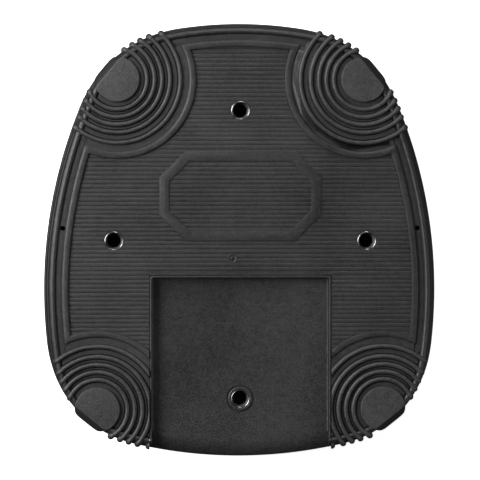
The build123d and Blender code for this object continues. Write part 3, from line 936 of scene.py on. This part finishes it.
pip_section = [
    (0.0, 1.5), (0.5, 1.4), (0.85, 1.05), (1.1, 0.1), (1.3, -0.1), (2.2, -0.05), (2.5, 0.25), (2.9, 0.35),
    (3.3, 0.25), (3.5, -0.6), (0.0, -0.6),
]
pip = lathe("gate_pip", [(r, field_z + up) for r, up in pip_section], (-5.8, -12.2), 40)
finish_off(pip, shell_finish, "shell_rubber", 45)

# %% [markdown]
# ## Rubber corner bumpers
#
# Each corner carries one soft rubber moulding: a thin web, a thick pad that hangs over the rim, and five
# rings round it whose ends bend down over the rim as well. The rings are tubes that follow a path, half
# sunk in the web, so Geometry Nodes sweeps them. The path bends downwards where it gets near the rim, and
# the tube narrows to a round tip.

# %% Ring paths
ring_radii = (20.7, 25.9, 31.05, 36.6, 43.7)
tube_radius = 1.6
bulb_swell = 1.45
tube_reach, low_flank_reach = 4.0, 1.6
crest_z = deck_z + 0.65
web_z = deck_z + 0.15


def ring_paths(centre, radius):
    """Paths of one ring's tube, with the tube's swell at each point."""
    turns = np.linspace(0, 2 * math.pi, 361)[:-1]
    flat = np.column_stack([centre[0] + radius * np.cos(turns), centre[1] + radius * np.sin(turns)])
    depth = inside_rim(flat)
    low_flank = (centre[1] < 0) & (flat[:, 1] > centre[1])
    last = bulb_swell * tube_radius - np.where(low_flank, low_flank_reach, tube_reach)
    keep = depth > last
    if keep.all():
        return [(at_height(flat, crest_z), np.ones(len(flat)))]
    start = int(np.argmax(keep & ~np.roll(keep, 1)))
    flat, depth, keep, last = (np.roll(v, -start, axis=0) for v in (flat, depth, keep, last))
    count = int(np.argmin(keep)) if not keep.all() else len(keep)
    flat, depth, last = flat[:count], depth[:count], last[:count]
    bend = 2.4
    over = np.clip((last + bend - depth) / bend, 0, 1)
    path = np.column_stack([flat, crest_z - bend * (1 - np.sqrt(1 - over ** 2))])
    drop = np.array([0.8, 1.8, 2.9, 3.9, 4.6, 5.1, 5.5, 5.7])
    swell = np.array([1.0, 1.0, 1.0, 0.97, 0.88, 0.7, 0.45, 0.12]) * bulb_swell
    head = np.column_stack([np.repeat(path[:1, :2], 8, 0), path[0, 2] - drop])[::-1]
    tail = np.column_stack([np.repeat(path[-1:, :2], 8, 0), path[-1, 2] - drop])
    along = 1 + (bulb_swell - 1) * over
    return [(np.concatenate([head, path, tail]), np.concatenate([swell[::-1], along, swell]))]


tree, bench, wires = new_tree("ring_tree", Radius=0.0017, Sides=12)
curve = bench.make("GeometryNodeMeshToCurve", None, Mesh=wires["Geometry"])
swell = bench.attribute("swell")
curve = bench.make("GeometryNodeSetCurveRadius", None, Curve=curve, Radius=swell)
tube = bench.tube(curve, wires["Radius"], wires["Sides"], Fill_Caps=True)
scale_socket = tube.node.inputs.get("Scale")
if scale_socket is not None:
    bench.tree.links.new(swell.socket, scale_socket)
close_tree(bench, tube, bumper_finish)
ring_tree = tree

# %% [markdown]
# The pad's plan is a disc cut off by a straight chord on the rim's side. Lower loops reach further out
# beyond the chord, so that the side slopes out over the rim and then drops down the wall.

# %% Bumpers
def cut_disc(centre, aim, radius, chord, z, count=96):
    """A disc whose side towards aim is cut at chord from its centre, with a soft corner between."""
    turns = np.arange(count) * 2 * math.pi / count
    facing = np.maximum(np.cos(turns - aim), 0) / chord
    reach = (radius ** -18.0 + facing ** 18.0) ** (-1 / 18.0)
    flat = np.column_stack([centre[0] + reach * np.cos(turns), centre[1] + reach * np.sin(turns)])
    return at_height(flat, z)


pad_section = (
    (15.3, 11.4, 33.2), (15.7, 12.4, 33.6), (15.9, 12.8, 35.0), (15.9, 12.5, 38.0), (15.8, 11.8, 39.8),
    (15.7, 9.2, 42.9), (15.6, 8.2, 44.0), (15.45, 7.75, 44.42), (15.25, 7.45, 44.57), (14.9, 7.1, 44.6),
)
for corner, centre in corner_places.items():
    sign_x = 1 if centre[0] > 0 else -1
    near = rim_dense[int(((rim_dense - centre) ** 2).sum(1).argmin())]
    aim = math.atan2(near[1] - centre[1], near[0] - centre[0])
    pad = loft(f"bumper_pad_{corner}", [cut_disc(centre, aim, r, c, z) for r, c, z in pad_section])
    pad.data.materials.append(bumper_finish)
    pad.data.materials.append(pad_side_shade_finish)
    # Painted shade: faces that slope out towards the rim take the darker side finish.
    for polygon in pad.data.polygons:
        outward = polygon.normal.x * math.cos(aim) + polygon.normal.y * math.sin(aim)
        polygon.material_index = 1 if outward > 0.55 else 0
    finish_off(pad, None, "bumper_rubber", 50, f"corner_bumper_{corner}")

    paths = [p for radius in ring_radii for p in ring_paths(centre, radius)]
    seed = seed_lines([p for p, _ in paths], swell=np.concatenate([s for _, s in paths]))
    rings_piece = grow(f"bumper_rings_{corner}", ring_tree, seed, Radius=tube_radius * mm, Sides=14)

    web_line = outline(-5.2, fine=2)
    web_profile = [(0.0, deck_z - 1.2), (0.0, web_z)]
    for radius in ring_radii:
        for side in (-1, 1):
            middle = radius + side * (tube_radius + 0.1)
            web_profile += [(middle - 0.5, web_z), (middle, web_z - 0.9), (middle + 0.5, web_z)]
    web_profile = web_profile[:-1] + [(ring_radii[-1] + tube_radius + 0.3, deck_z - 1.2)]
    web = lathe(f"bumper_web_{corner}", web_profile, centre, 160)
    limit = loft("limit", [at_height(web_line, deck_z - 2), at_height(web_line, deck_z + 2)])
    carve(web, limit, how="INTERSECT")
    if corner.startswith("lower"):
        for piece in (rings_piece, web):
            slice_off(piece, (sign_x * joint, 0, 0), (-sign_x, 0, 0))
    finish_off(rings_piece, bumper_finish, "bumper_rubber", 60)
    # The web takes the darker rubber: painted shade in the grooves between the rings.
    finish_off(web, web_shade_finish, "bumper_rubber", 30)

# %% [markdown]
# ## Threaded inserts
#
# Each insert is a blind steel bush with a collar that sits on the board, a chamfered rim that shows in the
# shell, a plain pilot and then the thread. The bush is turned on the lathe helper, and the thread is a
# helix swept by Geometry Nodes.

# %% Inserts
tree, bench, wires = new_tree("thread_tree", Radius=0.0047, Turns=12.0, Height=0.018, Ridge=0.0005)
helix = bench.make(
    "GeometryNodeCurveSpiral", None, Resolution=24, Rotations=wires["Turns"],
    Start_Radius=wires["Radius"], End_Radius=wires["Radius"], Height=wires["Height"],
)
ridge = bench.tube(helix, wires["Ridge"], 6, Fill_Caps=True)
place_at = bench.make("GeometryNodeInstanceOnPoints", None, Points=wires["Geometry"], Instance=ridge)
# The thread takes the darker steel: painted shade down the bore.
close_tree(bench, place_at, bore_shade_finish)
thread_tree = tree

for place, (x, y, top) in insert_places.items():
    low = corner_mm(f"threaded_insert_{place}", 0).z
    floor = low + 8.0
    pilot = top - 5.0
    section = [
        (0.0, low), (6.0, low), (6.4, low + 0.4), (6.4, 24.0), (9.0, 24.0), (9.0, 26.0), (6.4, 26.0),
        (6.4, top - 0.45), (6.35, top - 0.2), (6.22, top - 0.05), (6.05, top), (5.9, top - 0.06),
        (5.77, top - 0.22),
        (5.7, top - 0.5), (5.7, pilot), (5.1, pilot - 0.5), (5.1, floor), (0.0, floor - 2.0),
    ]
    bush = lathe(f"insert_bush_{place}", section, (x, y), 72)
    bush.data.materials.append(insert_finish)
    bush.data.materials.append(bore_shade_finish)
    # Painted shade: faces inside the bore take the darker steel.
    for polygon in bush.data.polygons:
        away = math.hypot(polygon.center.x / mm - x, polygon.center.y / mm - y)
        polygon.material_index = 1 if away < 5.72 and polygon.center.z > low * mm + 0.001 else 0
    finish_off(bush, None, "insert_steel", 35, f"threaded_insert_{place}")
    tall = pilot - floor - 1.0
    values = {"Radius": 0.00508, "Turns": tall / 1.5, "Height": tall * mm, "Ridge": 0.00042}
    helix_piece = grow(f"insert_thread_{place}", thread_tree, seed_points([(x, y, floor + 0.5)]), **values)
    finish_off(helix_piece, None, "insert_steel", 60)

# %% [markdown]
# ## The strike pad
#
# Under the shell hangs the upholstered pad: foam on a board, wrapped in synthetic leather and piped round
# the strike face. It is padded fabric, so its shape comes from a short cloth simulation: a slightly small
# form is blown up a little, and no point may move further than a cap. It is flat where it rests on the
# floor, and stays inside the shell's skirt.

# %% Strike pad
def cushion(name, rings, voxel, pressure, cap, low_z):
    piece = loft(name, rings)
    remesh = piece.modifiers.new("remesh", "REMESH")
    remesh.mode, remesh.voxel_size = "VOXEL", voxel * mm
    applied(piece)
    rest = np.array([v.co for v in piece.data.vertices])
    cloth = piece.modifiers.new("cloth", "CLOTH")
    cloth.settings.use_pressure = True
    cloth.settings.uniform_pressure_force = pressure
    cloth.settings.effector_weights.gravity = 0
    cloth.settings.tension_stiffness = 40
    cloth.point_cache.frame_start, cloth.point_cache.frame_end = 1, 20
    for step in range(1, 21):
        bpy.context.scene.frame_set(step)
    applied(piece)
    bpy.context.scene.frame_set(1)
    swollen = np.array([v.co for v in piece.data.vertices])
    move = swollen - rest
    reach = np.linalg.norm(move, axis=1, keepdims=True)
    move *= np.minimum(1, cap * mm / np.maximum(reach, 1e-9))
    settled = rest + move
    settled[:, 2] = np.maximum(settled[:, 2], low_z * mm)
    piece.data.vertices.foreach_set("co", settled.ravel())
    finer = piece.modifiers.new("finer", "SUBSURF")
    finer.levels = finer.render_levels = 1
    applied(piece)
    print(name, "moved up to", round(float(np.linalg.norm(move, axis=1).max() / mm), 2), "mm")
    return piece


pad_side, pad_end = flare_side - shell_wall - 0.3, flare_end - shell_wall - 0.3
pad_steps = ((5.5, 0.5), (3.2, 0.9), (2.2, 2.2), (1.6, 4.5), (1.2, 8.0), (1.2, 17.5))
pad_rings = [at_height(outline(pad_side - inset, pad_end - inset, 1), z) for inset, z in pad_steps]
strike_pad = cushion("strike_pad_cover", pad_rings, 4.0, 4.0, 1.6, 0.15)
covered = ("face_panel", "face_foam", "side_gusset", "core_foam")
finish_off(strike_pad, leather_finish, "cover_leather", 0, *covered)
for polygon in strike_pad.data.polygons:
    polygon.use_smooth = True

# %% [markdown]
# The seam between face and side is piped: a cord under a strip of the same leather. Stitches run beside it.
# Both follow the outline, so both are Geometry Nodes trees that read one path.

# %% Piping and stitches
def laid_on(piece, line, lift):
    """A line in millimetres, dropped onto the nearest surface of a piece and lifted off it by lift."""
    bpy.context.view_layer.update()
    solid = piece.evaluated_get(bpy.context.evaluated_depsgraph_get())
    laid = []
    for point in line:
        _, spot, normal, _ = solid.closest_point_on_mesh(Vector(point) * mm)
        laid.append((spot + normal * lift * mm) / mm)
    return np.array(laid)


tree, bench, wires = new_tree("piping_tree", Radius=0.0013)
curve = bench.make("GeometryNodeMeshToCurve", None, Mesh=wires["Geometry"])
close_tree(bench, bench.tube(curve, wires["Radius"], 14), leather_finish)
piping_line = at_height(outline(pad_side - 1.3, pad_end - 1.3, 1, fine=2), 1.9)
seed = seed_lines([laid_on(strike_pad, piping_line, 0.2)], closed=True)
piping = grow("seam_piping_cord", tree, seed, Radius=0.00135)
finish_off(piping, None, "cover_leather", 80, "seam_piping")

tree, bench, wires = new_tree("stitch_tree", Pitch=0.004, Length=0.0028, Thickness=0.0004)
curve = bench.make("GeometryNodeMeshToCurve", None, Mesh=wires["Geometry"])
spots = bench.make("GeometryNodeCurveToPoints", {"mode": "LENGTH"}, Curve=curve, Length=wires["Pitch"])
turned = Wire(bench, spots.node.outputs["Rotation"])
stitch = bench.make(
    "GeometryNodeMeshUVSphere", None, Segments=8, Rings=6, Radius=wires["Thickness"],
)
shape = bench.make("ShaderNodeCombineXYZ", None, 1.0, 1.0, wires["Length"] / (wires["Thickness"] * 2.0))
sewn = bench.make(
    "GeometryNodeInstanceOnPoints", None, Points=spots, Instance=stitch, Rotation=turned, Scale=shape,
)
close_tree(bench, sewn, thread_finish)
stitch_line = at_height(outline(pad_side - 0.35, pad_end - 0.35, 1, fine=2), 5.2)
seed = seed_lines([laid_on(strike_pad, stitch_line, 0.05)], closed=True)
stitches = grow("gusset_stitches", tree, seed, Pitch=0.0045)
finish_off(stitches, None, "cover_leather", 80)

# %% [markdown]
# ## What is inside
#
# The board, the washers, the nuts and the staples keep their CAD shapes and get real finishes. The filler
# foam is replaced by a block with soft edges.

# %% Inside pieces
for node, material in (
    ("stiffener_board", board_finish), ("insert_washers", steel_finish),
    ("insert_nuts", steel_finish), ("cover_staples", steel_finish),
):
    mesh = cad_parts[node].data
    mesh.materials.clear()
    mesh.materials.append(material)

filler_low, filler_high = corner_mm("filler_foam", 0).z, corner_mm("filler_foam", 1).z
inset = shell_wall + 18.0
filler_steps = (
    (1.5, filler_low + 0.2), (0.3, filler_low + 1.5), (0.3, filler_high - 1.5), (1.5, filler_high - 0.2),
)
filler_rings = [at_height(outline(-inset - step), z) for step, z in filler_steps]
filler = loft("filler_foam_block", filler_rings)
edge = pocket_half + shell_wall + 0.3
carve(
    filler,
    block("room", (-edge, -200, pocket_z - shell_wall - 0.3), (edge, pocket_top + shell_wall + 0.3, 60), 1.0),
    *[drill(x, y, 11.3, 10, 60) for x, y, _ in insert_places.values()],
)
finish_off(filler, filler_finish, "filler_foam", 40, "filler_foam")

# %% [markdown]
# ## Studio
#
# A pale floor, one broad soft light from the upper left, a weaker one from the right, and a pale sky. The
# camera hangs over the object on a long lens.

# %% Studio and camera
floor_mesh = bpy.data.meshes.new("studio_floor")
reach = 3.0
floor_corners = [(-reach, -reach, 0), (reach, -reach, 0), (reach, reach, 0), (-reach, reach, 0)]
floor_mesh.from_pydata(floor_corners, [], [(0, 1, 2, 3)])
floor = bpy.data.objects.new("studio_floor", floor_mesh)
bpy.context.scene.collection.objects.link(floor)
floor_finish, bench, here = new_finish("studio_floor")
close_finish(bench, (0.9, 0.9, 0.9), 0.9, Emission_Color=(1, 1, 1, 1), Emission_Strength=0.85)
floor_mesh.materials.append(floor_finish)
floor.visible_diffuse = floor.visible_glossy = False
floor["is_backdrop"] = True


def soft_light(name, place, size, power):
    light = bpy.data.lights.new(name, "AREA")
    light.shape, light.size, light.energy = "DISK", size, power
    lamp = bpy.data.objects.new(name, light)
    lamp.location = place
    lamp.rotation_euler = (Vector((0, 0, 0)) - Vector(place)).to_track_quat("-Z", "Y").to_euler()
    bpy.context.scene.collection.objects.link(lamp)
    return lamp


soft_light("key_light", (-1.25, 0.45, 1.15), 1.1, 46)
soft_light("top_light", (0.1, 1.5, 0.9), 0.6, 12)
soft_light("fill_light", (1.5, -0.4, 1.0), 1.0, 6)
world = bpy.data.worlds.new("pale_sky")
bpy.context.scene.world = world
world.use_nodes = True
world.node_tree.nodes["Background"].inputs[0].default_value = (1.0, 1.0, 1.0, 1.0)
world.node_tree.nodes["Background"].inputs[1].default_value = 0.075
bpy.context.scene.view_settings.view_transform = "Standard"

camera_data = bpy.data.cameras.new("camera")
camera = bpy.data.objects.new("camera", camera_data)
bpy.context.scene.collection.objects.link(camera)
bpy.context.scene.camera = camera
distance = 1.5
view_width = 480 * 0.69 * mm
camera_data.sensor_width = 36.0
camera_data.lens = 36.0 * distance / view_width
aim_at = Vector((-0.00035, 0.0006, deck_z * mm))
camera.location = aim_at + Vector((-0.05, 0.04, distance))
back = (camera.location - aim_at).normalized()
right = Vector((0, 1, 0)).cross(back).normalized()
camera.rotation_euler = Matrix((right, back.cross(right), back)).transposed().to_euler()
print("lens", round(camera_data.lens, 1))

# %% Print the visual box and finish
low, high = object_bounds()
print("visual box in mm:", [round(v / mm, 1) for v in (*low, *high)])
